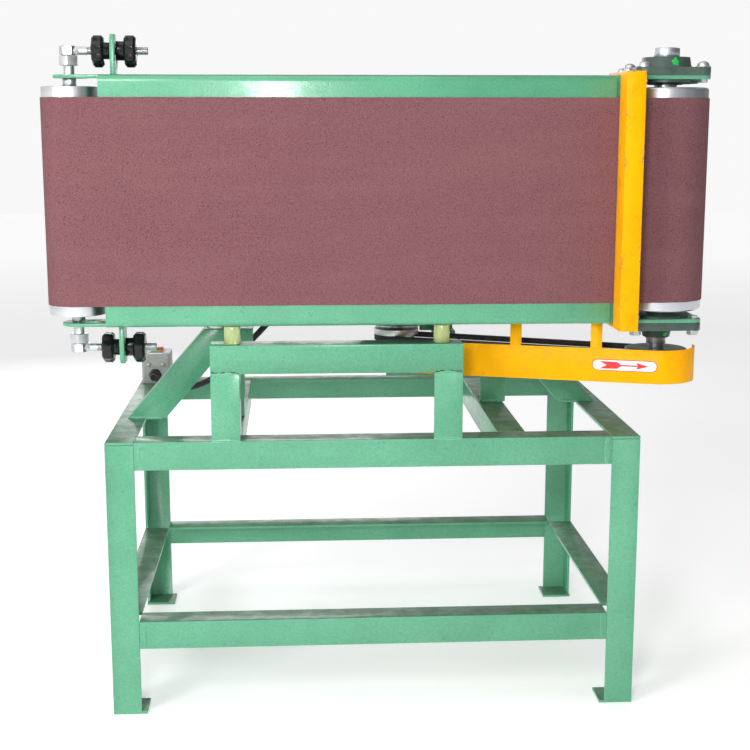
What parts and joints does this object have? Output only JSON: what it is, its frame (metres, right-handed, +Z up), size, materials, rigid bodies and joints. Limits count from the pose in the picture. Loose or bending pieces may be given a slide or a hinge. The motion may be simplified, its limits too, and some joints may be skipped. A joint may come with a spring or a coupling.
{
  "type": "vertical belt sander",
  "caption": "Floor-standing belt sander: wide abrasive belt on edge between two drums in front of a flat platen, on an angle-steel stand, with motor, belt guard, work stop and tension knobs.",
  "frame": {"origin": "on the floor, under the middle of the bounding box", "axes": "+X along the belt towards the drive drum, +Y from the working face of the belt to the back, +Z up; the side with the abrasive belt faces -Y"},
  "size_m": [1.1504, 0.682, 1.1905],
  "materials": {
    "enamel": "glossy mint-green enamel, slightly pebbled",
    "urethane": "cast polyurethane, cloudy yellow-green",
    "bright_aluminium": "turned",
    "bright_steel": "zinc plated and turned",
    "cast_iron": "dark grey-green primer on castings",
    "abrasive_cloth": "brown-red abrasive grit on cloth",
    "black_plastic": "moulded phenolic",
    "yellow_paint": "glossy safety yellow, chipped",
    "motor_paint": "dark blue-grey enamel",
    "black_rubber": "matt",
    "grey_plastic": "moulded",
    "green_plastic": "moulded",
    "red_plastic": "moulded"
  },
  "bodies": {
    "frame": {"leg_front_left": "enamel", "leg_front_right": "enamel", "leg_back_left": "enamel", "leg_back_right": "enamel", "top_rail_front": "enamel", "top_rail_back": "enamel", "top_rail_left": "enamel", "top_rail_right": "enamel", "lower_rail_front": "enamel", "lower_rail_back": "enamel", "lower_rail_left": "enamel", "lower_rail_right": "enamel", "cross_rail_left": "enamel", "cross_rail_right": "enamel", "post_front_left": "enamel", "post_front_right": "enamel", "head_rail": "enamel", "post_rear_left": "enamel", "stub_rail": "enamel", "brace_left": "enamel", "post_rear_right": "enamel", "motor_beam": "enamel", "brace_right": "enamel", "platen_frame": "enamel", "rear_arm": "enamel", "idler_bracket_top": "enamel", "idler_bracket_bottom": "enamel", "tension_lug_top": "enamel", "tension_lug_bottom": "enamel", "motor_bracket": "enamel", "spacer_front_left": "urethane", "spacer_front_right": "urethane", "spacer_rear_left": "urethane", "spacer_rear_right": "urethane", "bearing_top": "cast_iron", "bearing_bottom": "cast_iron", "sanding_belt": "abrasive_cloth", "work_stop": "yellow_paint", "belt_guard": "yellow_paint", "motor_body": "motor_paint", "motor_fan_cover": "motor_paint", "motor_terminal_box": "motor_paint", "v_belt_lower": "black_rubber", "v_belt_upper": "black_rubber", "motor_cable": "black_rubber", "switch_box": "grey_plastic"},
    "drive_roller": {"drive_drum": "bright_aluminium", "drive_pulley": "cast_iron"},
    "motor_shaft": {"motor_rotor": "bright_steel"},
    "idler_carriage": {"idler_shaft": "bright_steel", "tension_rod_top": "bright_steel", "tension_rod_bottom": "bright_steel"},
    "idler_roller": {"idler_drum": "bright_aluminium"},
    "knob_left_top": {"knob_left_top": "black_plastic"},
    "knob_right_top": {"knob_right_top": "black_plastic"},
    "knob_left_bottom": {"knob_left_bottom": "black_plastic"},
    "knob_right_bottom": {"knob_right_bottom": "black_plastic"},
    "start_button": {"start_button": "green_plastic"},
    "stop_button": {"stop_button": "red_plastic"}
  },
  "joints": [
    {"name": "drive_spin", "type": "hinge", "parent": "frame", "child": "drive_roller", "pos_m": [0.49845, -0.2122, 0.912], "axis": [0, 0, 1], "continuous": true},
    {"name": "motor_spin", "type": "hinge", "parent": "frame", "child": "motor_shaft", "pos_m": [0.04535, 0.011, 0.64], "axis": [0, 0, 1], "continuous": true},
    {"name": "idler_tension", "type": "slide", "parent": "frame", "child": "idler_carriage", "axis": [1, 0, 0], "range_m": [0, 0.02]},
    {"name": "idler_spin", "type": "hinge", "parent": "idler_carriage", "child": "idler_roller", "pos_m": [-0.52545, -0.2392, 0.912], "axis": [0, 0, 1], "continuous": true},
    {"name": "knob_left_top_turn", "type": "hinge", "parent": "frame", "child": "knob_left_top", "pos_m": [-0.47515, -0.2392, 1.1635], "axis": [1, 0, 0], "range_deg": [0, 3600]},
    {"name": "knob_right_top_turn", "type": "hinge", "parent": "frame", "child": "knob_right_top", "pos_m": [-0.42165, -0.2392, 1.1635], "axis": [1, 0, 0], "range_deg": [0, 3600]},
    {"name": "knob_left_bottom_turn", "type": "hinge", "parent": "frame", "child": "knob_left_bottom", "pos_m": [-0.47515, -0.2392, 0.6605], "axis": [1, 0, 0], "range_deg": [0, 3600]},
    {"name": "knob_right_bottom_turn", "type": "hinge", "parent": "frame", "child": "knob_right_bottom", "pos_m": [-0.42165, -0.2392, 0.6605], "axis": [1, 0, 0], "range_deg": [0, 3600]},
    {"name": "start_press", "type": "slide", "parent": "frame", "child": "start_button", "axis": [0, 0, -1], "range_m": [0, 0.002], "stiffness_N_per_m": 800, "springref_m": -0.001},
    {"name": "stop_press", "type": "slide", "parent": "frame", "child": "stop_button", "axis": [0, 0, -1], "range_m": [0, 0.005], "stiffness_N_per_m": 600, "springref_m": -0.001}
  ],
  "couplings": [
    {"joint": "motor_spin", "follows": "drive_spin", "ratio": 1.3077},
    {"joint": "idler_spin", "follows": "drive_spin", "ratio": 1.5505},
    {"joint": "knob_left_top_turn", "follows": "idler_tension", "rad_per_m": 3141.6},
    {"joint": "knob_right_top_turn", "follows": "idler_tension", "rad_per_m": 3141.6},
    {"joint": "knob_left_bottom_turn", "follows": "idler_tension", "rad_per_m": 3141.6},
    {"joint": "knob_right_bottom_turn", "follows": "idler_tension", "rad_per_m": 3141.6}
  ]
}
